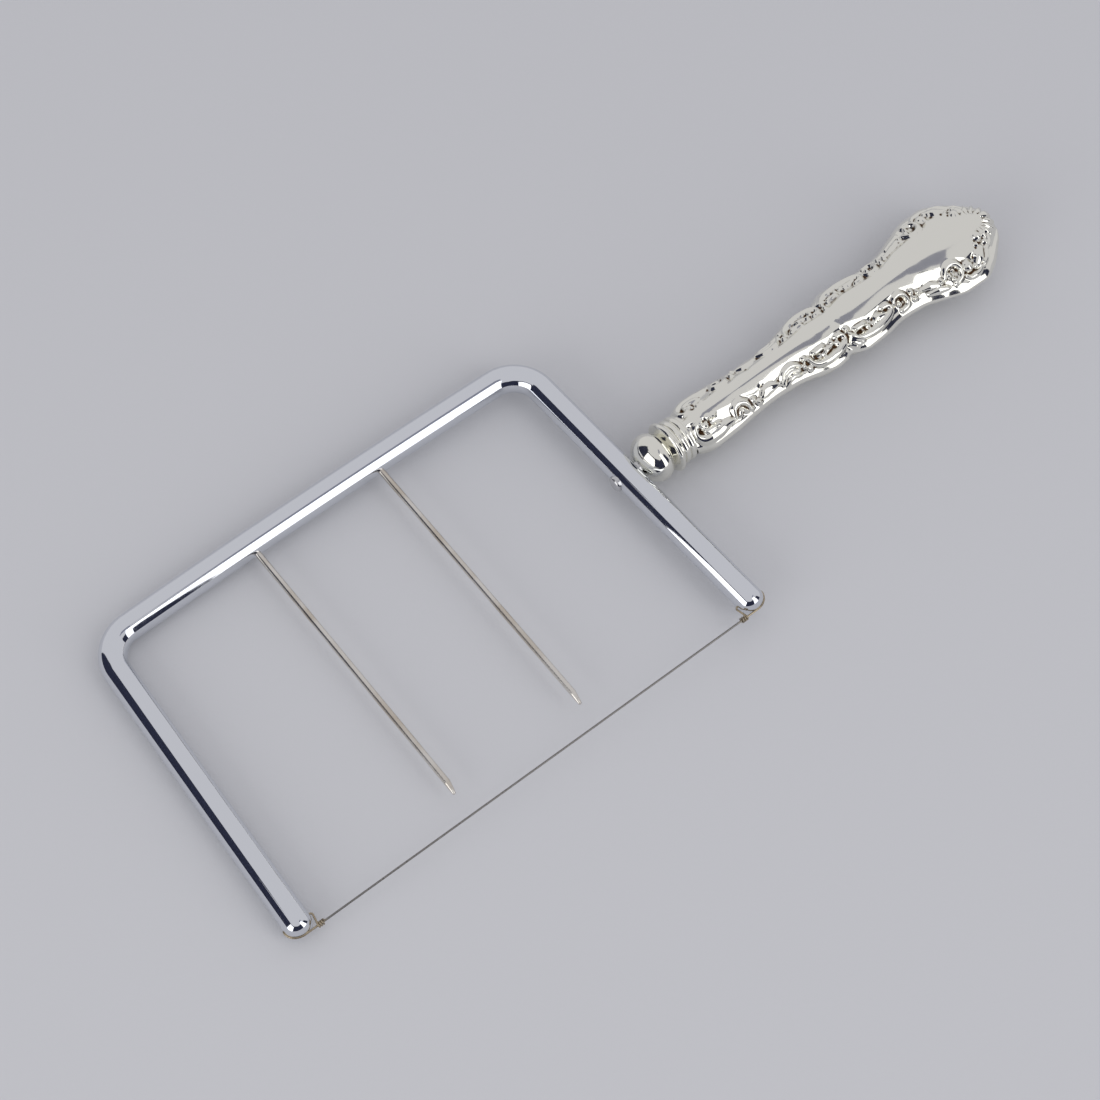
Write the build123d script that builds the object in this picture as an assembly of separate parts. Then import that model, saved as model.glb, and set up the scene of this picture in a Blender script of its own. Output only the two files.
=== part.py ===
from build123d import *
import os
from math import asin, atan, cos, degrees, pi, radians, sin, sqrt, tan

# A wire cheese slicer. One chromed rod is bent into a square U, two tines stand in its back bar,
# and a wire is stretched between its arm ends. A hollow silver handle grows out of one arm.
# Sizes are in millimetres and degrees. The frame is drawn in its own plane, with the back bar
# along X and the arms running to -Y, and it is laid down on the table at the end.

# Shared by every cut: how far a cutter runs past what it cuts
overrun = 1.0

# Frame rod, measured on its centre line
rod_diameter = 6.35
bar_length = 113.5
bar_bow = 0.7
bend_radius = 8.0
arm_reach = 79.65
arm_splay = 2.4
dome_height = 2.6

# Tines, round and ground to a slant on one side of the tip
tine_diameter = 1.5
tine_spacing = 33.4
tine_shift = -0.4
tine_reach = 73.9
tine_seat_depth = 4.5
tine_slant_length = 3.2
tine_tip_diameter = 0.8
tine_fit = 0.02

# Cutting wire, led through each arm, round the domed end in a groove and tied to itself
wire_diameter = 0.45
wire_sunk_depth = 0.15
wire_fit = 0.03
wire_bend_radius = 0.6
wire_tie_turns = 3
wire_tie_pitch = 0.52
wire_tie_gap = 0.02

# Handle, from its crossing with the right arm out to the butt
handle_place = 36.7
handle_turn = 0.85
tang_diameter = 3.2
tang_length = 62.0
tang_fit = 0.02
rivet_diameter = 3.8
rivet_height = 0.7

# Ball between the arm and the handle
ball_diameter = 11.3
ball_length = 8.1
ball_centre = 7.1

# Turned collar: a rim, a hollow neck and two fine rings, with a spigot in the handle's mouth
collar_start = 10.5
collar_seat_diameter = 6.6
rim_diameter = 12.8
rim_start = 12.0
rim_width = 1.8
rim_rounding = 0.5
neck_diameter = 10.2
neck_start = 14.5
ring_diameter = 11.0
ring_width = 1.35
ring_gap = 0.3
spigot_length = 5.0
spigot_fit = 0.05

# Stamped handle shells, measured from their open mouth, at their widest and thickest place
mouth_place = 18.0
handle_length = 91.4
handle_width = 24.4
handle_thickness = 13.0
shell_wall = 0.9

# Place along the shells, width and thickness, as shares of the sizes above. The outline swells in
# two lengths that meet at a notch, where one pair of scrolls ends and the next begins.
fore_shares = [
    (0.000, 0.465, 0.80),
    (0.045, 0.568, 0.87),
    (0.110, 0.545, 0.86),
    (0.175, 0.492, 0.83),
    (0.240, 0.474, 0.82),
    (0.305, 0.515, 0.83),
    (0.365, 0.600, 0.85),
    (0.420, 0.682, 0.88),
    (0.464, 0.622, 0.87),
]
butt_shares = [
    (0.464, 0.622, 0.87),
    (0.515, 0.742, 0.89),
    (0.575, 0.722, 0.90),
    (0.635, 0.664, 0.90),
    (0.695, 0.704, 0.92),
    (0.755, 0.855, 0.97),
    (0.815, 0.982, 1.00),
    (0.870, 0.990, 0.99),
    (0.915, 0.870, 0.92),
    (0.955, 0.620, 0.72),
    (0.985, 0.360, 0.44),
    (1.000, 0.200, 0.26),
]
hollow_end_share = 0.96

# Places worked out from the sizes
rod_radius = rod_diameter / 2
wire_radius = wire_diameter / 2
splay = radians(arm_splay)
left_corner = Vector(-bar_length / 2, 0)
right_corner = Vector(bar_length / 2, 0)
left_run = Vector(-sin(splay), -cos(splay))
right_run = Vector(sin(splay), -cos(splay))
dome_base_distance = arm_reach / cos(splay) - dome_height
left_dome_base = left_corner + left_run * dome_base_distance
right_dome_base = right_corner + right_run * dome_base_distance
handle_root = Vector(bar_length / 2 + handle_place * tan(splay), -handle_place)
handle_frame = Plane(handle_root, x_dir=(cos(radians(handle_turn)), sin(radians(handle_turn)), 0), z_dir=(0, 0, 1))


def arm_end_plane(base, run):
    """Plane at an arm's domed end: Y runs along the arm to the tip, Z stays up."""
    return Plane(base, x_dir=(run.Y, -run.X, 0), z_dir=(0, 0, 1))


def tube(path, diameter):
    """Round bar swept along a path, square to the path's start."""
    return sweep(Plane(path @ 0, z_dir=path % 0) * Circle(diameter / 2), path=path)


def bar_offset(x):
    """How far the bowed back bar's centre line stands out at a place along it."""
    bow_radius = (bar_length**2 / 4 + bar_bow**2) / (2 * bar_bow)
    return bar_bow - bow_radius + sqrt(bow_radius**2 - x**2)


# Bent rod with its domed ends, before anything is drilled
def bent_rod():
    bar = ThreePointArc(left_corner, (0, bar_bow), right_corner)
    runs = [Line(left_dome_base, left_corner).edge(), bar.edge(), Line(right_corner, right_dome_base).edge()]
    path = Wire(runs)
    corners = [v for v in path.vertices() if abs(v.Y) < bend_radius / 2]
    path = path.fillet_2d(bend_radius, corners)
    dome_arc = EllipticalCenterArc((0, 0), rod_radius, dome_height, 0, arc_size=90)
    dome = revolve(make_face([Line((0, 0), (rod_radius, 0)), dome_arc, Line((0, dome_height), (0, 0))]), Axis.Y)
    rod = tube(path, rod_diameter)
    rod += arm_end_plane(left_dome_base, left_run) * dome
    rod += arm_end_plane(right_dome_base, right_run) * dome
    return rod


# Tine, with its top in the bar and its tip ground down on one side
def tine(x):
    top = bar_offset(x) - rod_radius + tine_seat_depth
    slant_start = -tine_reach + tine_slant_length
    shank_face = Plane((x, top, 0), z_dir=(0, -1, 0)) * Circle(tine_diameter / 2)
    shank = extrude(shank_face, amount=top - slant_start)
    wide = Plane((x, slant_start, 0), x_dir=(1, 0, 0), z_dir=(0, -1, 0)) * Circle(tine_diameter / 2)
    lean = (tine_diameter - tine_tip_diameter) / 2
    narrow = Plane((x - lean, -tine_reach, 0), x_dir=(1, 0, 0), z_dir=(0, -1, 0)) * Circle(tine_tip_diameter / 2)
    point = loft([wide, narrow])
    point = fillet(point.faces().sort_by(Axis.Y)[0].edges(), tine_tip_diameter / 4)
    return shank + point


def tine_seat(x):
    top = bar_offset(x) - rod_radius + tine_seat_depth + tine_fit
    mouth = Plane((x, top, 0), z_dir=(0, -1, 0)) * Circle(tine_diameter / 2 + tine_fit)
    return extrude(mouth, amount=tine_seat_depth + tine_fit + overrun)


# Wire's way round the right arm end: along the span, over the dome and back through the arm
wire_rise = wire_radius - wire_sunk_depth
loop_width = rod_radius + wire_rise
loop_height = dome_height + wire_rise
touch_angle = 90 - degrees(atan(loop_width / loop_height * tan(splay)))
end_plane = arm_end_plane(right_dome_base, right_run)
touch = end_plane.from_local_coords(
    Vector(loop_width * cos(radians(touch_angle)), loop_height * sin(radians(touch_angle)))
)


def loop_path(span_start, inner_end):
    """Span, groove, bend and hole as one flat path, in the frame's plane."""
    over = EllipticalCenterArc((0, 0), loop_width, loop_height, touch_angle, arc_size=180 - touch_angle)
    bend = CenterArc((-loop_width + wire_bend_radius, 0), wire_bend_radius, 180, 90)
    through = Line((-loop_width + wire_bend_radius, -wire_bend_radius), (inner_end, -wire_bend_radius))
    round_end = [(end_plane * part).edge() for part in (over, bend, through)]
    return Wire([Line((span_start, touch.Y), touch).edge()] + round_end)


def half_wire():
    """Right half of the wire: half the span, the loop round the arm end and the tied tail."""
    loop = tube(loop_path(0, 0), wire_diameter)
    tie_radius = wire_diameter + wire_tie_gap
    tie_frame = Plane((right_dome_base.X - rod_radius, touch.Y, 0), x_dir=(0, 0, 1), z_dir=(-1, 0, 0))
    tie_start = tie_frame.from_local_coords(Vector(tie_radius, 0, 0))
    hole_middle = end_plane.from_local_coords(Vector(0, -wire_bend_radius))
    corner = end_plane.from_local_coords(Vector(rod_radius + wire_fit + wire_bend_radius, -wire_bend_radius))
    down = FilletPolyline(hole_middle, corner, tie_start, radius=wire_bend_radius)
    coil = tie_frame * Helix(wire_tie_pitch, wire_tie_turns * wire_tie_pitch, tie_radius, lefthand=True)
    coil_start = Plane(coil @ 0, z_dir=coil % 0) * Circle(wire_radius)
    tie = sweep(coil_start, path=coil, is_frenet=True)
    knuckle = Pos(tie_start) * Sphere(wire_radius)
    return loop + tube(down.wire(), wire_diameter) + knuckle + tie


def wire_way():
    """Groove and hole that the wire needs in the right arm end."""
    way = loop_path(right_dome_base.X - rod_radius, rod_radius + overrun)
    return tube(way, wire_diameter + 2 * wire_fit)


# Handle pieces, drawn along X from the arm's centre line and then set square to their own axis
def turned(profile):
    """Solid turned about the handle's axis from the edges of its half profile."""
    return revolve(make_face(profile), Axis.X)


def round_bar(diameter, start, end):
    return extrude(Plane((start, 0, 0), z_dir=(1, 0, 0)) * Circle(diameter / 2), amount=end - start)


def ball_blank():
    half = EllipticalCenterArc((ball_centre, 0), ball_length / 2, ball_diameter / 2, 0, arc_size=180)
    return turned([half, Line(half @ 1, half @ 0)])


def ring_arc(start):
    """Half-round ring on the collar's neck."""
    neck = neck_diameter / 2
    return ThreePointArc((start, neck), (start + ring_width / 2, ring_diameter / 2), (start + ring_width, neck))


def collar_blank():
    seat = (collar_start, collar_seat_diameter / 2)
    rim_edge = rim_diameter / 2 - rim_rounding
    neck = neck_diameter / 2
    rim_end = rim_start + rim_width
    first_ring = neck_start + ring_gap
    second_ring = first_ring + ring_width + ring_gap
    return turned([
        Line((collar_start, 0), seat),
        Line(seat, (rim_start, rim_edge)),
        ThreePointArc((rim_start, rim_edge), ((rim_start + rim_end) / 2, rim_diameter / 2), (rim_end, rim_edge)),
        Line((rim_end, rim_edge), (neck_start, neck)),
        Line((neck_start, neck), (first_ring, neck)),
        ring_arc(first_ring),
        Line((first_ring + ring_width, neck), (second_ring, neck)),
        ring_arc(second_ring),
        Line((second_ring + ring_width, neck), (mouth_place, neck)),
        Line((mouth_place, neck), (mouth_place, 0)),
        Line((mouth_place, 0), (collar_start, 0)),
    ])


def tang_blank():
    """Tang with its peened head, which fills the arm's hole from the arm's inner side to its middle."""
    edge = rivet_diameter / 2
    radius = tang_diameter / 2
    crown = edge - rivet_height
    top = -rod_radius - rivet_height
    return turned([
        Line((top, 0), (top, crown)),
        RadiusArc((top, crown), (-rod_radius, edge), rivet_height),
        Line((-rod_radius, edge), (0, edge)),
        Line((0, edge), (0, radius)),
        Line((0, radius), (tang_length, radius)),
        Line((tang_length, radius), (tang_length, 0)),
        Line((tang_length, 0), (top, 0)),
    ])


def handle_section(shares, wall):
    """Oval cross-section of the handle at one place, drawn in by a wall."""
    along, width, thick = shares
    across = Plane((mouth_place + along * handle_length, 0, 0), x_dir=(0, 1, 0), z_dir=(1, 0, 0))
    return across * Ellipse(width * handle_width / 2 - wall, thick * handle_thickness / 2 - wall)


def handle_form(wall):
    """Body of the handle lofted in its two lengths, drawn in by a wall."""
    fore = [handle_section(shares, wall) for shares in fore_shares]
    butt = [handle_section(shares, wall) for shares in butt_shares if wall == 0 or shares[0] < hollow_end_share]
    return loft(fore) + loft(butt)


# Pieces in the frame's plane
tine_places = [tine_shift - tine_spacing / 2, tine_shift + tine_spacing / 2]
blank = bent_rod()
handle_set = handle_frame.location
tang_hole = round_bar(tang_diameter + 2 * tang_fit, -rod_radius - overrun, rod_radius + overrun)
way = wire_way()
drilled_rod = blank - handle_set * tang_hole
frame_rod = drilled_rod - way - mirror(way, Plane.YZ)
for x in tine_places:
    frame_rod -= tine_seat(x)

right_wire = half_wire()
cutting_wire = right_wire + mirror(right_wire, Plane.YZ)

# Tang: a rod through the arm, the ball and the collar, peened over on the arm's inner side
handle_tang = handle_set * tang_blank() - drilled_rod

# Ball and collar, threaded on the tang, with the collar's spigot standing in the shells' mouth
long_hole = round_bar(tang_diameter + 2 * tang_fit, 0, tang_length + tang_fit)
spigot_diameter = fore_shares[0][2] * handle_thickness - 2 * (shell_wall + spigot_fit)
spigot = round_bar(spigot_diameter, rim_start, mouth_place + spigot_length)
ball = ball_blank()
handle_ball = handle_set * (ball - long_hole) - blank
handle_collar = handle_set * (collar_blank() + spigot - ball - long_hole)

# Two shells stamped to one form and joined along the middle, filled round the tang
hollow = handle_form(shell_wall)
mouth = extrude(handle_section(fore_shares[0], shell_wall), amount=-overrun)
upper_shell = split(handle_form(0) - hollow - mouth, Plane.XY, Keep.TOP)
lower_shell = mirror(upper_shell, Plane.XY)
filler = hollow - spigot - long_hole

pieces = {
    "frame_rod": frame_rod,
    "left_tine": tine(tine_places[0]),
    "right_tine": tine(tine_places[1]),
    "cutting_wire": cutting_wire,
    "handle_tang": handle_tang,
    "handle_ball": handle_ball,
    "handle_collar": handle_collar,
    "upper_handle_shell": handle_set * upper_shell,
    "lower_handle_shell": handle_set * lower_shell,
    "handle_filler": handle_set * filler,
}

# Lying on the table: the left arm and the collar's rim touch it, so the frame tips about that arm
left_arm_line = Axis(left_corner, left_run)
rim_middle = handle_frame.from_local_coords(Vector(rim_start + rim_width / 2, 0))
away = rim_middle - left_corner
rim_distance = abs(away.X * left_run.Y - away.Y * left_run.X)
lying_angle = degrees(asin((rim_diameter / 2 - rod_radius) / rim_distance))

os.makedirs("parts", exist_ok=True)
laid = {name: piece.rotate(left_arm_line, lying_angle) for name, piece in pieces.items()}
box = Compound([solid for piece in laid.values() for solid in piece.solids()]).bounding_box()
to_origin = Pos(-(box.min.X + box.max.X) / 2, -(box.min.Y + box.max.Y) / 2, -box.min.Z)
for name, piece in laid.items():
    export_step(to_origin * piece, f"parts/{name}.step")
    print(name, len(piece.solids()), round(piece.volume, 2), piece.is_valid)
print("box", box, "shift", to_origin.position, "lying", lying_angle)
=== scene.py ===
from math import atan2, cos, pi, radians, sin, sqrt, tan

import bmesh
import bpy
import numpy as np
from mathutils import Matrix, Quaternion, Vector


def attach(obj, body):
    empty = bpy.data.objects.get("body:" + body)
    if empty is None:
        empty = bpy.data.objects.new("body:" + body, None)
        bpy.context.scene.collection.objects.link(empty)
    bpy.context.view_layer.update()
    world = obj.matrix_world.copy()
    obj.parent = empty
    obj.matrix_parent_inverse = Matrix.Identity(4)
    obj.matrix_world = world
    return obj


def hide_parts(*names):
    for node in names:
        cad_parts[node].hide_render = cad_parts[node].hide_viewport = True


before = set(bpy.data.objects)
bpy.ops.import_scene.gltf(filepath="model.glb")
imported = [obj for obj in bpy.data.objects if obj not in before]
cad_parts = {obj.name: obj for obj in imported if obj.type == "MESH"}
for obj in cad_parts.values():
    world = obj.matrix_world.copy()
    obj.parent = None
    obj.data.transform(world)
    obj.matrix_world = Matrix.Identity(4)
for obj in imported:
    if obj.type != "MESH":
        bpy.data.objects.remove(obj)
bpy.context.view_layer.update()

# Camera: a long lens looking down on the table from the wire's side, left of the handle. It is turned
# a little about its own view, as the slicer lies askew in the picture.
camera_place = Vector((-0.20696, -0.22577, 0.54224))
camera_aim = Vector((-0.01861, -0.00255, 0.00547))
camera_roll = radians(2.43)
camera_lens = 91.82

camera = bpy.data.objects.new("camera", bpy.data.cameras.new("camera"))
camera.data.lens = camera_lens
camera.data.sensor_width = 36
camera.data.clip_start = 0.01
camera.location = camera_place
camera.rotation_mode = "QUATERNION"
towards = (camera_aim - camera_place).to_track_quat("-Z", "Y")
camera.rotation_quaternion = towards @ Quaternion((0, 0, 1), camera_roll)
bpy.context.scene.collection.objects.link(camera)
bpy.context.scene.camera = camera
bpy.context.scene.view_settings.view_transform = "Standard"

# Frame rod: one length of round rod, bent into a square U with a slight bow in its back bar, domed at
# the arm ends, then polished and chrome plated. It is drawn in its own flat plane in millimetres, and
# the whole slicer is laid on the table by one transform: it rests on the left arm and the collar's rim.
mm = 0.001
rod_radius = 3.175
bar_length = 113.5
bar_bow = 0.7
bend_radius = 8.0
arm_reach = 79.65
arm_splay = radians(2.4)
dome_height = 2.6
lying_angle = radians(1.42863)
row_shift = Vector((-52.1045, 38.2738, 3.175))
ring_segments = 96
bar_steps = 24
bend_steps = 40
dome_steps = 10
merge_distance = 0.001

left_corner = Vector((-bar_length / 2, 0, 0))
right_corner = Vector((bar_length / 2, 0, 0))
left_run = Vector((-sin(arm_splay), -cos(arm_splay), 0))
right_run = Vector((sin(arm_splay), -cos(arm_splay), 0))
lying_turn = Matrix.Rotation(lying_angle, 4, left_run)
tipped = Matrix.Translation(left_corner) @ lying_turn @ Matrix.Translation(-left_corner)
laid = Matrix.Scale(mm, 4) @ Matrix.Translation(row_shift) @ tipped


class Maths:
    """A shader socket that can be reckoned with: each sum adds a Math node."""

    def __init__(self, finish, socket):
        self.finish = finish
        self.socket = socket

    def reckon(self, operation, *others):
        terms = dict(enumerate((self, *others)))
        return self.finish.node("ShaderNodeMath", {"operation": operation}, terms)

    def __add__(self, other):
        return self.reckon("ADD", other)

    def __radd__(self, other):
        return self.reckon("ADD", other)

    def __sub__(self, other):
        return self.reckon("SUBTRACT", other)

    def __rsub__(self, other):
        return self * -1 + other

    def __mul__(self, other):
        return self.reckon("MULTIPLY", other)

    def __rmul__(self, other):
        return self.reckon("MULTIPLY", other)

    def ramp(self, low, high):
        """Goes from nought to one between two values, with soft ends."""
        settings = {"interpolation_type": "SMOOTHSTEP"}
        values = {"Value": self, "From Min": low, "From Max": high}
        return self.finish.node("ShaderNodeMapRange", settings, values)


class Finish:
    """One material, with its shader and the nodes that vary it."""

    def __init__(self, name, **constants):
        self.material = bpy.data.materials.new(name)
        self.material.use_nodes = True
        self.tree = self.material.node_tree
        self.shader = self.tree.nodes["Principled BSDF"]
        for socket, value in constants.items():
            self.shader.inputs[socket.replace("_", " ")].default_value = value

    def node(self, kind, settings, values, output=0):
        made = self.tree.nodes.new(kind)
        for name, value in settings.items():
            setattr(made, name, value)
        for socket, value in values.items():
            self.feed(made.inputs[socket], value)
        return Maths(self, made.outputs[output])

    def feed(self, socket, value):
        if isinstance(value, Maths):
            self.tree.links.new(value.socket, socket)
        else:
            socket.default_value = value

    def place(self):
        return self.node("ShaderNodeTexCoord", {}, {}, "Object")

    def noise(self, scale, detail, stretch=(1, 1, 1)):
        spread = self.node("ShaderNodeMapping", {}, {"Vector": self.place(), "Scale": stretch})
        return self.node("ShaderNodeTexNoise", {}, {"Vector": spread, "Scale": scale, "Detail": detail})

    def blend(self, factor, first, second):
        return self.node("ShaderNodeMix", {"data_type": "RGBA"}, {0: factor, 6: first, 7: second}, 2)

    def bump(self, height, distance, strength):
        values = {"Height": height, "Distance": distance, "Strength": strength}
        self.feed(self.shader.inputs["Normal"], self.node("ShaderNodeBump", {}, values))

    def vary(self, socket, value):
        self.feed(self.shader.inputs[socket], value)


def make_piece(name, shape, finish, node):
    """Turns a shape into a smooth piece that stands for its CAD node."""
    mesh = bpy.data.meshes.new(name)
    bmesh.ops.transform(shape, matrix=laid, verts=shape.verts)
    shape.to_mesh(mesh)
    shape.free()
    mesh.shade_smooth()
    mesh.materials.append(finish.material)
    piece = bpy.data.objects.new(name, mesh)
    bpy.context.scene.collection.objects.link(piece)
    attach(piece, "root")
    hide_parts(node)


def draw_on(shape, ring, step):
    """Extrudes an open ring of edges along a step and gives the new ring and its points."""
    grown = bmesh.ops.extrude_edge_only(shape, edges=ring)["geom"]
    points = [part for part in grown if isinstance(part, bmesh.types.BMVert)]
    bmesh.ops.translate(shape, vec=step, verts=points)
    return [part for part in grown if isinstance(part, bmesh.types.BMEdge)], points


def swing_on(shape, ring, centre, angle, steps):
    """Swings an open ring of edges about an upright axis and gives the new ring."""
    points = list({point for edge in ring for point in edge.verts})
    swung = bmesh.ops.spin(shape, geom=ring + points, cent=centre, axis=(0, 0, 1), angle=angle, steps=steps)
    return [part for part in swung["geom_last"] if isinstance(part, bmesh.types.BMEdge)]


def shrink_ring(shape, points, share, middle):
    """Draws a ring's points in towards its middle."""
    bmesh.ops.scale(shape, vec=(share, share, share), space=Matrix.Translation(-middle), verts=points)


bow_radius = (bar_length**2 / 4 + bar_bow**2) / (2 * bar_bow)
bow_centre = Vector((0, bar_bow - bow_radius, 0))
inwards = Vector((-cos(arm_splay), -sin(arm_splay), 0))
reach = right_corner + inwards * bend_radius - bow_centre
downward = reach.dot(right_run)
along = -downward - sqrt(downward**2 - reach.length_squared + (bow_radius - bend_radius) ** 2)
bend_centre = bow_centre + reach + right_run * along
bar_turn = atan2((bend_centre - bow_centre).x, (bend_centre - bow_centre).y)
bend_turn = pi / 2 - arm_splay - bar_turn
straight = arm_reach / cos(arm_splay) - dome_height - along

rod = bmesh.new()
upright = Matrix.Translation((0, bar_bow, 0)) @ Matrix.Rotation(pi / 2, 4, "Y")
bmesh.ops.create_circle(rod, segments=ring_segments, radius=rod_radius, matrix=upright)
ring = swing_on(rod, rod.edges[:], bow_centre, -bar_turn, bar_steps)
ring = swing_on(rod, ring, bend_centre, -bend_turn, bend_steps)
ring, points = draw_on(rod, ring, right_run * straight)
middle = right_corner + right_run * (along + straight)
for step in range(dome_steps):
    before, after = (pi / 2 * count / dome_steps for count in (step, step + 1))
    rise = right_run * dome_height * (sin(after) - sin(before))
    ring, points = draw_on(rod, ring, rise)
    middle += rise
    shrink_ring(rod, points, cos(after) / cos(before), middle)
half = rod.verts[:] + rod.edges[:] + rod.faces[:]
bmesh.ops.mirror(rod, geom=half, axis="X", merge_dist=merge_distance)
bmesh.ops.remove_doubles(rod, verts=rod.verts, dist=merge_distance)
bmesh.ops.recalc_face_normals(rod, faces=rod.faces)

chrome = Finish("bright_chrome", Base_Color=(0.74, 0.76, 0.8, 1), Metallic=1.0, Roughness=0.04)
wiped = chrome.noise(260.0, 3.0)
chrome.vary("Roughness", 0.03 + 0.03 * wiped.ramp(0.35, 0.75))
chrome.bump(chrome.noise(90.0, 2.0), 0.00001, 0.25)
make_piece("bent_frame_rod", rod, chrome, "frame_rod")

# Tines: two round pins of drawn nickel silver, pressed into blind holes in the back bar. Each tip is
# ground to a slant on the side of the handle and rounded, so that it slips into the cheese.
tine_radius = 0.75
tine_spacing = 33.4
tine_shift = -0.4
tine_reach = 73.9
tine_slant = 3.2
tine_tip_radius = 0.4
tine_round = 0.2
tine_end_shares = (0.7, 0.02)
tine_segments = 32
bright_nickel = (0.74, 0.71, 0.66, 1)
dull_nickel = (0.6, 0.54, 0.46, 1)

nickel = Finish("nickel_silver", Base_Color=(0.7, 0.66, 0.6, 1), Metallic=1.0, Roughness=0.2)
drawn = nickel.noise(900.0, 3.0, (1.0, 0.03, 1.0))
rubbed = nickel.noise(120.0, 3.0)
nickel.vary("Roughness", 0.14 + 0.16 * drawn)
nickel.vary("Base Color", nickel.blend(rubbed.ramp(0.4, 0.7), bright_nickel, dull_nickel))
nickel.bump(drawn, 0.00002, 0.3)

for name, side in (("left_tine", -1), ("right_tine", 1)):
    tine = bmesh.new()
    middle = Vector((tine_shift + side * tine_spacing / 2, 0, 0))
    back = Matrix.Translation(middle) @ Matrix.Rotation(pi / 2, 4, "X")
    bmesh.ops.create_circle(tine, segments=tine_segments, radius=tine_radius, matrix=back)
    lean = Vector((tine_tip_radius - tine_radius, tine_round - tine_slant, 0))
    steps = [(Vector((0, tine_slant - tine_reach, 0)), 1), (lean, tine_tip_radius / tine_radius)]
    steps += [(Vector((0, -tine_round / 2, 0)), share) for share in tine_end_shares]
    ring = tine.edges[:]
    for step, share in steps:
        ring, points = draw_on(tine, ring, step)
        middle += step
        shrink_ring(tine, points, share, middle)
    bmesh.ops.recalc_face_normals(tine, faces=tine.faces)
    make_piece(name + "_pin", tine, nickel, name)

# Cutting wire: thin drawn wire stretched across the arm ends, in a groove over each dome, through the
# arm and twisted round itself. The twists have a brassy tone from handling, the span is bare grey.
bare_grey = (0.22, 0.21, 0.2, 1)
brassy = (0.42, 0.35, 0.25, 1)
twist_start = 0.054
twist_full = 0.0565

wire = Finish("cutting_wire", Base_Color=(0.4, 0.36, 0.3, 1), Metallic=1.0, Roughness=0.25)
across = wire.node("ShaderNodeSeparateXYZ", {}, {"Vector": wire.place()}, "X")
from_middle = wire.node("ShaderNodeMath", {"operation": "ABSOLUTE"}, {0: across - row_shift.x * mm})
wire.vary("Base Color", wire.blend(from_middle.ramp(twist_start, twist_full), bare_grey, brassy))
wire.vary("Roughness", 0.2 + 0.15 * wire.noise(900.0, 2.0))


def dress(node, finish):
    """Gives a CAD node that shows as it is its material."""
    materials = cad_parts[node].data.materials
    materials.clear()
    materials.append(finish.material)


dress("cutting_wire", wire)

# Tang: a turned steel rod that runs through the arm, the ball and the collar into the handle, and is
# riveted over. Only its peened head shows, as a small bump on the arm's inner side.
steel = Finish("tang_steel", Base_Color=(0.62, 0.62, 0.63, 1), Metallic=1.0, Roughness=0.22)
steel.vary("Roughness", 0.16 + 0.16 * steel.noise(400.0, 3.0))
dress("handle_tang", steel)

# Ball and collar: turned silver, threaded on the tang between the arm and the handle. The ball is a
# little flattened. The collar has a rounded rim, a hollow neck and two fine rings.
handle_place = 36.7
handle_turn = radians(0.85)
handle_root = Vector((bar_length / 2 + handle_place * tan(arm_splay), -handle_place, 0))
handle_set = Matrix.Translation(handle_root) @ Matrix.Rotation(handle_turn, 4, "Z")
ball_radius = 5.85
ball_half_length = 4.2
ball_centre = 7.35
collar_start = 10.3
collar_seat_radius = 3.5
rim_start = 10.9
rim_width = 1.5
rim_radius = 6.2
rim_rounding = 1.0
neck_start = 12.7
neck_radius = 5.15
ring_radius = 5.55
ring_width = 1.4
ring_gap = 0.2
mouth_place = 16.2
bead_steps = 10
ball_segments = 96
ball_rings = 64
turned_segments = 128
turned_merge = 0.0005
sharp_angle = radians(40)
silver_tone = (0.86, 0.85, 0.78, 1)

silver = Finish("turned_silver", Base_Color=silver_tone, Metallic=1.0, Roughness=0.07)
silver.vary("Roughness", 0.05 + 0.06 * silver.noise(300.0, 3.0))
silver.bump(silver.noise(160.0, 2.0), 0.00002, 0.2)

ball = bmesh.new()
poles_along = Matrix.Rotation(pi / 2, 4, "Y")
bmesh.ops.create_uvsphere(
    ball, u_segments=ball_segments, v_segments=ball_rings, radius=1, matrix=poles_along
)
bmesh.ops.scale(ball, vec=(ball_half_length, ball_radius, ball_radius), verts=ball.verts)
bmesh.ops.translate(ball, vec=(ball_centre, 0, 0), verts=ball.verts)
bmesh.ops.transform(ball, matrix=handle_set, verts=ball.verts)
make_piece("turned_ball", ball, silver, "handle_ball")


def half_round(start, width, low, high):
    """Points of a rounded bead on a turned profile."""
    turns = [pi * step / bead_steps for step in range(bead_steps + 1)]
    return [(start + width * (1 - cos(turn)) / 2, low + (high - low) * sin(turn)) for turn in turns]


rim_edge = rim_radius - rim_rounding
first_ring = neck_start + ring_gap
second_ring = first_ring + ring_width + ring_gap
profile = [(collar_start, 0), (collar_start, collar_seat_radius)]
profile += half_round(rim_start, rim_width, rim_edge, rim_radius)
profile += half_round(first_ring, ring_width, neck_radius, ring_radius)
profile += half_round(second_ring, ring_width, neck_radius, ring_radius)
profile += [(mouth_place, neck_radius), (mouth_place, 0)]
collar = bmesh.new()
points = [collar.verts.new((x, 0, radius)) for x, radius in profile]
edges = [collar.edges.new(pair) for pair in zip(points, points[1:])]
bmesh.ops.spin(
    collar, geom=points + edges, axis=(1, 0, 0), angle=2 * pi, steps=turned_segments, use_merge=True
)
bmesh.ops.remove_doubles(collar, verts=collar.verts, dist=turned_merge)
bmesh.ops.recalc_face_normals(collar, faces=collar.faces)
bmesh.ops.transform(collar, matrix=handle_set, verts=collar.verts)
for edge in collar.edges:
    edge.smooth = len(edge.link_faces) < 2 or edge.calc_face_angle() < sharp_angle
make_piece("turned_collar", collar, silver, "handle_collar")

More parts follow.
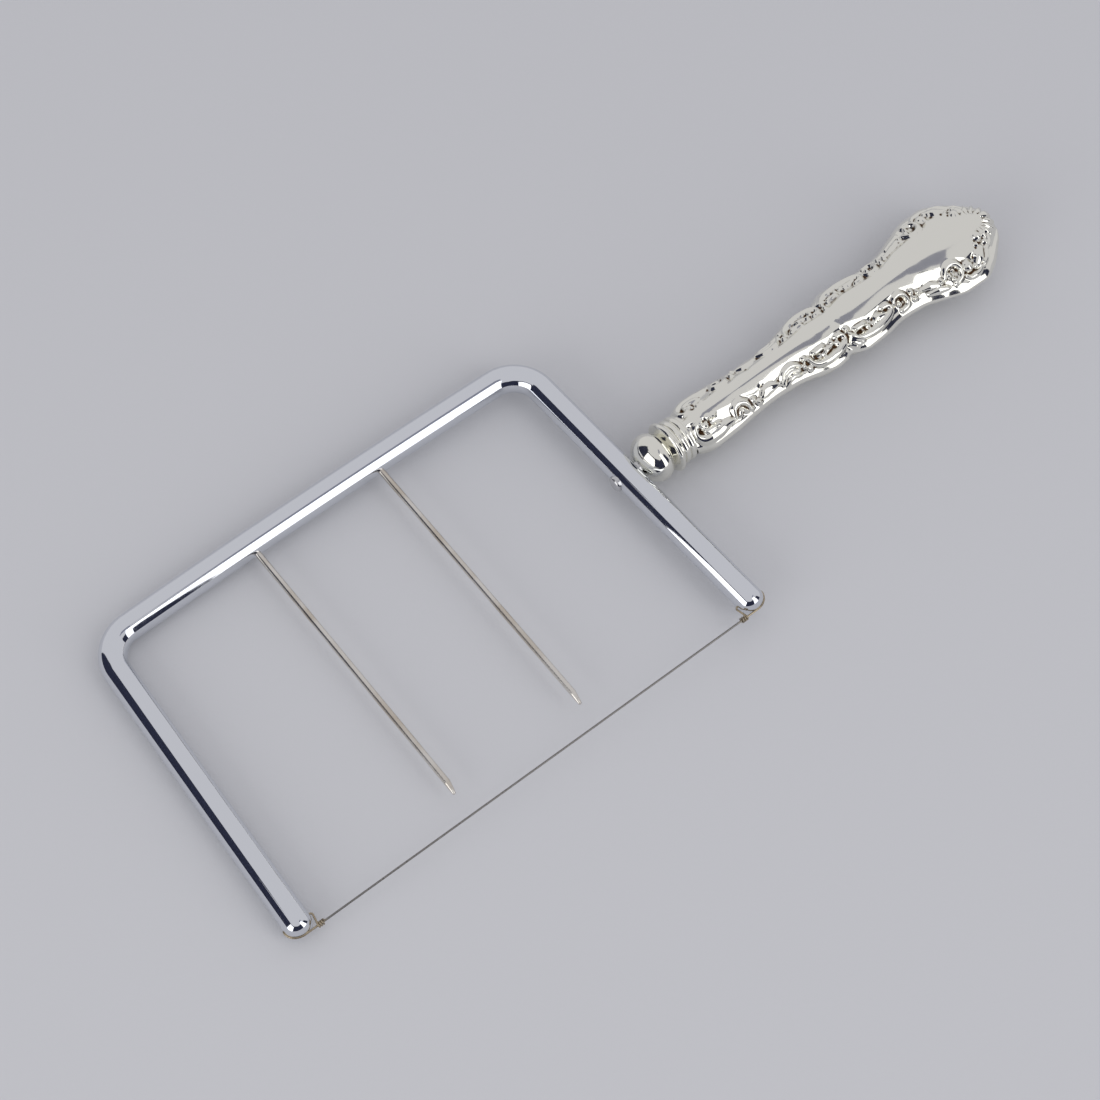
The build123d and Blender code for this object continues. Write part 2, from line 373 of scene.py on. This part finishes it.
# Handle shells: two thin silver stampings, soldered along the middle and polished, with scrolls,
# leaves, beads and shells in relief between a plain crowned panel and a plain rim. The relief is the
# same on both sides of the axis and on both shells, and its hollows keep a dark tarnish.
handle_length = 93.2
handle_width = 24.4
handle_thickness = 13.0
crown_power = 1.42
outline_shares = [
    (0.000, 0.447, 0.80), (0.055, 0.570, 0.87), (0.116, 0.553, 0.86), (0.180, 0.504, 0.83),
    (0.245, 0.480, 0.82), (0.309, 0.512, 0.83), (0.368, 0.602, 0.85), (0.422, 0.689, 0.88),
    (0.448, 0.676, 0.88), (0.469, 0.619, 0.87), (0.487, 0.680, 0.88), (0.519, 0.746, 0.89),
    (0.572, 0.730, 0.90), (0.636, 0.668, 0.90), (0.695, 0.701, 0.92), (0.756, 0.844, 0.97),
    (0.815, 0.975, 1.00), (0.870, 0.985, 0.99), (0.914, 0.845, 0.92), (0.955, 0.598, 0.72),
    (0.985, 0.361, 0.44), (1.000, 0.000, 0.00),
]
panel_border = [
    (16.2, 0.6), (22, 1.9), (27, 2.6), (31, 2.2), (34, 3.0), (37, 2.9), (40, 3.4), (44, 2.3), (49, 2.6),
    (54, 3.0), (58, 2.8), (61, 2.9), (66, 4.0), (72, 3.6), (77, 3.4), (83, 5.4), (88, 5.6), (92, 5.0),
    (95, 6.8), (98, 6.4), (100, 2.6), (102, 2.7), (103.5, 2.3), (104.8, 1.2), (105.4, 0.2),
]
border_depth = 0.28
border_rise = (-0.2, 0.5)
plain_rim_start = 0.8
plain_rim_full = 0.93
plain_rim_relief = 0.25
relief_share = 1.25
relief_start = 0.01
butt_start = 0.975
relief_sweeps = 4
tarnish_sweeps = 8
tarnish_gain = 7
tarnish_least = 0.25
tarnish_crest = (0.05, 0.35)
tarnish_tone = (0.09, 0.045, 0.02, 1)
stroke_steps = 16
stroke_end_share = 0.3
ridge_roundness = 0.7
crease_width = 0.25
rows_along = 620
rows_across = 156
row_crowding = 1.35
seam_distance = 0.0004


def smooth_through(places, values, at):
    """Smooth curve through the given values, without overshoot between them."""
    places, values, at = np.asarray(places), np.asarray(values), np.asarray(at)
    slopes = np.diff(values) / np.diff(places)
    before, after = slopes[:-1], slopes[1:]
    lean = np.zeros(len(values))
    lean[1:-1] = np.where(before * after > 0, 2 * before * after / (before + after + 1e-9), 0)
    lean[0], lean[-1] = slopes[0], slopes[-1]
    spot = np.clip(np.searchsorted(places, at) - 1, 0, len(places) - 2)
    gap = (places[1:] - places[:-1])[spot]
    part = (at - places[spot]) / gap
    square, cube = part**2, part**3
    start = (2 * cube - 3 * square + 1) * values[spot] + (cube - 2 * square + part) * gap * lean[spot]
    end = (3 * square - 2 * cube) * values[spot + 1] + (cube - square) * gap * lean[spot + 1]
    return start + end


def handle_halves(share):
    """Half the handle's width and half its thickness at shares of its length."""
    places, widths, depths = np.array(outline_shares).T
    half_width = smooth_through(places, widths, share) * handle_width / 2
    half_thick = smooth_through(places, depths, share) * handle_thickness / 2
    return half_width, half_thick


class Relief:
    """Height of the stamped ornament over the shell, in millimetres, at places along and out."""

    def __init__(self, along, out):
        self.along = along
        self.out = out
        self.height = np.zeros_like(along)

    def near(self, points, margin):
        low, high = np.min(points, axis=0) - margin, np.max(points, axis=0) + margin
        inside = (self.along > low[0]) & (self.along < high[0])
        return np.nonzero(inside & (self.out > low[1]) & (self.out < high[1]))

    def off_by(self, spots, along, out, radius):
        return np.hypot(self.along[spots] - along, self.out[spots] - out) / radius

    def raise_to(self, spots, height):
        self.height[spots] = np.maximum(self.height[spots], height)

    def stroke(self, points, widths, height=0.55, crease=0.0):
        """Rounded ridge along a curve, with its half width given at even steps along it."""
        points = np.array(points, float)
        steps = np.linspace(0, 1, stroke_steps * len(points))
        knots = np.linspace(0, 1, len(points))
        line = np.stack([smooth_through(knots, points[:, axis], steps) for axis in (0, 1)], -1)
        half = np.interp(steps, np.linspace(0, 1, len(widths)), widths)
        spots = self.near(line, max(widths))
        along, out = self.along[spots][:, None], self.out[spots][:, None]
        away = np.hypot(along - line[:, 0], out - line[:, 1]) / half
        nearest = np.argmin(away, axis=1)
        off = np.take_along_axis(away, nearest[:, None], 1)[:, 0]
        body = np.clip(1 - off**2, 0, None) ** ridge_roundness
        body -= crease * np.exp(-((off / crease_width) ** 2))
        swell = stroke_end_share + (1 - stroke_end_share) * half[nearest] / max(widths)
        self.raise_to(spots, swell * height * body - (off > 1))

    def bead(self, along, out, radius, height=None):
        """Round drop, as high as its size asks where no height is given."""
        spots = self.near([(along, out)], radius)
        off = self.off_by(spots, along, out, radius)
        drop = (height or 0.35 + 0.3 * radius) * np.clip(1 - off**2, 0, None) ** ridge_roundness
        self.raise_to(spots, drop - (off > 1))

    def pit(self, along, out, radius, depth=0.35):
        """Soft round hollow between the ridges."""
        spots = self.near([(along, out)], 3 * radius)
        off = self.off_by(spots, along, out, radius)
        self.height[spots] -= depth * np.exp(-(off**2))


def carve(relief):
    """One side of the ornament, in groups from the mouth to the butt: the scroll at the mouth, an arch
    and a plain leaf, the layered fan, the two great scrolls with the notch's leaves between them, the
    ring scroll and long leaves, the scrolls of the bulb, the shoulder's leaves, the butt's shell."""
    stroke, bead, pit = relief.stroke, relief.bead, relief.pit
    stroke(
        [(19.4, 1.5), (17.8, 2.2), (17.4, 3.4), (18.0, 4.6), (19.6, 5.2), (22.2, 5.3), (24.6, 5.0),
         (26.6, 5.0)],
        [0.5, 0.75, 0.75, 0.95, 0.9, 0.4],
    )
    stroke([(19.2, 3.1), (19.6, 4.0), (21.4, 4.1), (23.2, 4.0)], [0.45, 0.5, 0.45, 0.3], 0.5)
    for place in ((19.2, 2.3), (20.3, 2.9), (21.6, 1.9), (22.9, 2.1)):
        bead(*place, 0.62)
    pit(18.4, 3.4, 0.4)
    pit(21.2, 3.0, 0.45)

    stroke(
        [(27.4, 5.0), (27.8, 3.6), (29.6, 2.9), (31.2, 3.6), (31.9, 5.2)],
        [0.4, 0.7, 0.8, 0.7, 0.4], 0.6,
    )
    stroke([(28.5, 5.2), (29.6, 4.3), (30.8, 5.2)], [0.3, 0.5, 0.3], 0.5)
    bead(33.2, 4.1, 0.65)
    bead(34.3, 4.9, 0.6)
    stroke([(35.3, 4.5), (37.6, 3.9), (40.3, 4.2)], [0.35, 1.0, 0.9, 0.35], 0.6, 0.2)
    pit(36.6, 2.9, 0.4)

    stroke(
        [(41.0, 4.5), (42.4, 3.3), (44.3, 2.9), (46.0, 3.3), (47.1, 4.1)],
        [0.35, 0.55, 0.6, 0.35], 0.65,
    )
    stroke([(41.6, 5.0), (42.9, 4.1), (44.5, 3.9), (46.5, 4.6)], [0.3, 0.5, 0.35], 0.52)
    stroke([(42.3, 5.5), (43.4, 4.9), (44.7, 4.8), (46.1, 5.3)], [0.3, 0.45, 0.3], 0.42)
    for place in ((47.9, 4.7), (48.5, 3.5), (49.0, 5.6)):
        bead(*place, 0.6)
    pit(47.3, 5.2, 0.35)

    great_widths = [0.4, 0.65, 0.8, 0.8, 0.65, 0.45]
    stroke(
        [(49.4, 3.9), (50.2, 5.2), (52.0, 6.1), (54.3, 6.4), (56.8, 6.2), (58.9, 5.6), (59.6, 4.6),
         (58.9, 3.7), (57.6, 3.7)],
        great_widths, 0.7,
    )
    stroke([(51.2, 3.75), (53.7, 3.75)], [0.55, 0.6, 0.55], 0.55)
    stroke([(53.2, 5.2), (54.3, 4.8), (55.7, 4.7)], [0.3, 0.55, 0.3], 0.45)
    bead(57.4, 4.9, 0.65)
    bead(56.2, 4.2, 0.5)
    pit(51.4, 4.8, 0.45)
    pit(56.6, 5.5, 0.3)
    for leaf in range(3):
        root, tip = (59.9 + 0.5 * leaf, 6.2 - 0.3 * leaf), (61.4 + 0.9 * leaf, 7.5 + 0.05 * leaf)
        stroke([root, tip], [0.4, 0.3], 0.4)
    pit(60.0, 5.9, 0.45, 0.45)

    bead(60.9, 3.7, 0.65)
    bead(62.0, 5.6, 0.5)
    stroke(
        [(61.2, 5.0), (62.1, 6.1), (64.2, 6.9), (66.8, 7.1), (69.8, 6.8), (72.2, 6.1), (73.1, 5.3),
         (72.4, 4.5), (70.9, 4.4)],
        great_widths, 0.7,
    )
    stroke([(62.9, 4.85), (65.3, 4.9)], [0.55, 0.6, 0.55], 0.55)
    bead(65.9, 5.8, 0.6)
    stroke([(67.2, 6.0), (69.1, 5.4), (71.2, 5.6)], [0.3, 0.7, 0.35], 0.55, 0.15)
    pit(63.6, 5.9, 0.4)
    pit(67.6, 5.2, 0.4)

    stroke(
        [(74.2, 5.2), (74.9, 4.2), (76.2, 4.0), (77.5, 4.8), (77.8, 5.9), (77.0, 6.8), (75.4, 7.0)],
        [0.4, 0.6, 0.6, 0.4], 0.62,
    )
    bead(75.6, 5.7, 0.6)
    pit(76.6, 5.2, 0.35)
    bead(79.4, 5.2, 0.65)
    bead(80.9, 6.0, 0.6)
    bead(79.7, 6.7, 0.5)
    stroke([(81.7, 6.1), (84.1, 6.6), (86.3, 7.5)], [0.35, 0.75, 0.35], 0.5, 0.15)
    stroke([(83.1, 7.6), (85.5, 8.2), (87.8, 9.1)], [0.35, 0.7, 0.35], 0.5, 0.15)

    bead(87.0, 7.4, 0.55)
    stroke(
        [(88.0, 7.4), (88.9, 6.1), (90.4, 5.6), (91.9, 6.2), (92.5, 7.6), (91.8, 8.9), (89.8, 9.6)],
        [0.4, 0.7, 0.8, 0.7, 0.4], 0.68,
    )
    bead(89.2, 7.4, 0.6)
    bead(90.0, 8.6, 0.5)
    pit(91.0, 7.5, 0.4)
    bead(94.3, 8.1, 1.3, 0.8)
    stroke([(92.9, 9.5), (94.2, 10.3), (96.0, 10.3), (97.6, 9.7)], [0.35, 0.55, 0.35], 0.5)
    bead(96.1, 9.0, 0.6)

    stroke([(96.2, 9.2), (98.0, 7.8), (99.9, 6.2)], [0.45, 1.3, 0.6], 0.65, 0.12)
    stroke([(98.2, 9.6), (99.9, 8.6), (101.2, 7.1)], [0.35, 0.55, 0.35], 0.5)
    pit(96.9, 7.4, 0.45)
    stroke([(101.2, 6.9), (102.7, 6.0), (103.6, 4.7)], [0.35, 0.55, 0.35], 0.5)
    bead(100.6, 3.9, 1.25, 0.8)
    bead(99.2, 5.3, 0.55)
    bead(101.7, 5.6, 0.55)
    pit(101.9, 4.6, 0.35)

    shell_centre, rib_ends = 102.6, ((2.7, 2.9), (5.4, 4.9))
    for rib in range(5):
        turn = radians(4 + 22 * rib)
        ends = [(shell_centre + reach * cos(turn), spread * sin(turn)) for reach, spread in rib_ends]
        stroke(ends, [0.4, 0.75, 0.6], 0.55)


def smooth_step(value, low, high):
    """Goes from nought to one between two values, with soft ends."""
    part = np.clip((value - low) / (high - low), 0, 1)
    return part * part * (3 - 2 * part)


def soften(values, sweeps):
    """Evens out a grid of values with its neighbours."""
    for sweep in range(sweeps):
        wide = np.pad(values, 1, mode="edge")
        sides = wide[:-2, 1:-1] + wide[2:, 1:-1] + wide[1:-1, :-2] + wide[1:-1, 2:]
        values = (sides + values) / 5
    return values


shell_silver = Finish("stamped_silver", Base_Color=silver_tone, Metallic=1.0, Roughness=0.08)
hollows = shell_silver.node("ShaderNodeAttribute", {"attribute_name": "hollows"}, {}, "Fac")
speckle = shell_silver.noise(700.0, 3.0)
tarnish = (hollows + 0.3 * hollows * (speckle - 0.5)).ramp(0.25, 0.85)
shell_silver.vary("Base Color", shell_silver.blend(tarnish, silver_tone, tarnish_tone))
shell_silver.vary("Roughness", 0.06 + 0.3 * tarnish + 0.05 * speckle)
shell_silver.bump(shell_silver.noise(160.0, 2.0), 0.00002, 0.2)

for name, side, node in (
    ("upper_handle_stamping", 1, "upper_handle_shell"),
    ("lower_handle_stamping", -1, "lower_handle_shell"),
):
    shape = bmesh.new()
    bmesh.ops.create_grid(shape, x_segments=rows_along, y_segments=rows_across, size=0.5)
    grid = np.array([point.co for point in shape.verts]).reshape(rows_across + 1, rows_along + 1, 3)
    share = 1 - (1 - (grid[:, :, 0] + 0.5)) ** row_crowding
    turn = pi * (grid[:, :, 1] + 0.5)
    half_width, half_thick = handle_halves(share)
    crown = (1 - np.abs(np.cos(turn)) ** crown_power) ** (1 / crown_power)
    along, across = mouth_place + share * handle_length, half_width * np.cos(turn)
    body = np.stack([along, across, half_thick * crown], -1)

    relief = Relief(along, np.abs(across))
    border = np.interp(along, *np.array(panel_border).T)
    spread = relief.out / np.maximum(half_width, 0.01)
    band = smooth_step(relief.out, border + border_rise[0], border + border_rise[1])
    band = band * (1 - smooth_step(spread, plain_rim_start, plain_rim_full))
    relief.height -= border_depth * band * smooth_step(share, 0.0, relief_start)
    carve(relief)
    relief.height = relief_share * soften(relief.height, relief_sweeps)

    normal = np.cross(np.gradient(body, axis=1), np.gradient(body, axis=0))
    normal *= np.sign(normal[:, :, 2:3] + 1e-12)
    normal /= np.maximum(np.linalg.norm(normal, axis=-1, keepdims=True), 1e-9)
    fade = 1 - smooth_step(share, butt_start, 1.0)
    inside_rim = 1 - smooth_step(spread, plain_rim_start, 1.0)
    rim_share = plain_rim_relief + (1 - plain_rim_relief) * inside_rim
    body += normal * (relief.height * fade)[:, :, None] * rim_share[:, :, None]
    body[:, :, 2] *= side
    below = soften(relief.height, tarnish_sweeps) - relief.height
    hollow = np.clip(below * tarnish_gain - tarnish_least, 0, 1)
    hollow = hollow * (1 - smooth_step(relief.height, *tarnish_crest)) * fade

    layer = shape.verts.layers.float.new("hollows")
    for point, place, value in zip(shape.verts, body.reshape(-1, 3), hollow.ravel()):
        point.co = place
        point[layer] = value
    bmesh.ops.remove_doubles(shape, verts=shape.verts, dist=seam_distance)
    rims = [edge for edge in shape.edges if edge.is_boundary]
    for edge in rims:
        edge.smooth = False
    bmesh.ops.contextual_create(shape, geom=rims)
    bmesh.ops.recalc_face_normals(shape, faces=shape.faces)
    bmesh.ops.transform(shape, matrix=handle_set, verts=shape.verts)
    make_piece(name, shape, shell_silver, node)

# Filler: the resin cement that fills the hollow handle round the tang and bears its thin stampings.
# It has the handle's shape, drawn in by the silver and the depth of its ornament.
filler_inset = 1.5
filler_shares = np.linspace(0.002, 0.94, 70)
filler_turns = 96
tang_radius = 1.62
tang_end = 62.0
round_power = 2

cement = Finish("handle_cement", Base_Color=(0.3, 0.24, 0.17, 1), Roughness=0.85)
cement.vary("Roughness", 0.75 + 0.2 * cement.noise(300.0, 3.0))

half_width, half_thick = handle_halves(filler_shares)
filler_places = mouth_place + filler_shares * handle_length
rows = [(tang_end, 0, 0, round_power)]
rows += [(x, tang_radius, tang_radius, round_power) for x in (tang_end, filler_places[0])]
for x, across, up in zip(filler_places, half_width - filler_inset, half_thick - filler_inset):
    rows.append((x, across, up, crown_power))
rows.append((filler_places[-1], 0, 0, crown_power))
packing = bmesh.new()
bmesh.ops.create_grid(packing, x_segments=len(rows) - 1, y_segments=filler_turns, size=0.5)
for point in packing.verts:
    x, across, up, power = rows[round((point.co.x + 0.5) * (len(rows) - 1))]
    turn = 2 * pi * (point.co.y + 0.5)
    rise = max(1 - abs(cos(turn)) ** power, 0) ** (1 / power)
    point.co = (x, across * cos(turn), up * rise * (1 if sin(turn) > 0 else -1))
bmesh.ops.remove_doubles(packing, verts=packing.verts, dist=seam_distance)
bmesh.ops.recalc_face_normals(packing, faces=packing.faces)
bmesh.ops.transform(packing, matrix=handle_set, verts=packing.verts)
make_piece("cement_filler", packing, cement, "handle_filler")

# Table and studio: a pale grey sheet to stand on in an evenly lit room, with a broad soft light on the
# left and a tall narrow one in front, right of the camera. Dark curtains stand behind both lights. Only
# the metal sees them: they give the chrome its dark lines and leave the table's light as it is.
floor_half = 2.5
curtain_distance = 1.5

floor_shape = bmesh.new()
bmesh.ops.create_grid(floor_shape, x_segments=1, y_segments=1, size=floor_half)
floor_mesh = bpy.data.meshes.new("floor")
floor_shape.to_mesh(floor_mesh)
floor_shape.free()
paper = Finish("grey_paper", Base_Color=(0.595, 0.6, 0.625, 1), Roughness=0.9)
paper.bump(paper.noise(1500.0, 2.0), 0.00005, 0.3)
floor_mesh.materials.append(paper.material)
floor = bpy.data.objects.new("floor", floor_mesh)
bpy.context.scene.collection.objects.link(floor)


def soft_light(name, place, facing, width, height, power):
    """Upright soft light, facing along a direction."""
    lamp = bpy.data.lights.new(name, "AREA")
    lamp.shape = "RECTANGLE"
    lamp.size = width
    lamp.size_y = height
    lamp.energy = power
    holder = bpy.data.objects.new(name, lamp)
    holder.location = place
    holder.rotation_euler = Vector(facing).to_track_quat("-Z", "Y").to_euler()
    bpy.context.scene.collection.objects.link(holder)


def curtain(name, finish, foot, tops):
    """Upright screen round the table, with a level foot. The foot and the tops are angles above the
    table, and each top comes with its compass angle."""
    cloth = bmesh.new()
    hems = []
    for angle, top in tops:
        x, y = curtain_distance * cos(radians(angle)), curtain_distance * sin(radians(angle))
        heights = (curtain_distance * tan(radians(rise)) for rise in (foot, top))
        hems.append([cloth.verts.new((x, y, height)) for height in heights])
    for first, second in zip(hems, hems[1:]):
        cloth.faces.new((first[0], second[0], second[1], first[1]))
    mesh = bpy.data.meshes.new(name)
    cloth.to_mesh(mesh)
    cloth.free()
    mesh.materials.append(finish.material)
    screen = bpy.data.objects.new(name, mesh)
    bpy.context.scene.collection.objects.link(screen)
    for sight in ("camera", "diffuse", "shadow", "transmission", "volume_scatter"):
        setattr(screen, "visible_" + sight, False)


soft_light("left_softbox", (-1.0, -0.21, 0.39), (1, 0, 0), 0.88, 0.78, 3.8)
soft_light("front_strip", (0.34, -0.88, 0.8), (-0.34, 0.88, 0), 0.46, 1.6, 4.1)
navy = Finish("navy_cloth", Base_Color=(0.03, 0.035, 0.07, 1), Roughness=1.0)
lilac = Finish("lilac_cloth", Base_Color=(0.4, 0.41, 0.49, 1), Roughness=1.0)
curtain("left_curtain", navy, 0, [(125, 52), (141, 50), (158, 48)])
curtain("camera_curtain", navy, 0, [(158, 41), (185, 42), (213, 40), (250, 37), (279, 40)])
curtain("right_curtain", navy, 0, [(279, 61), (303, 61)])
curtain("right_valance", lilac, 61, [(290, 70), (316, 70.5), (342, 70)])
curtain("far_right_curtain", navy, 0, [(303, 40), (326, 38)])

world = bpy.data.worlds.new("studio")
world.use_nodes = True
room = world.node_tree.nodes["Background"].inputs
room["Color"].default_value = (0.97, 0.965, 1.0, 1)
room["Strength"].default_value = 0.68
bpy.context.scene.world = world
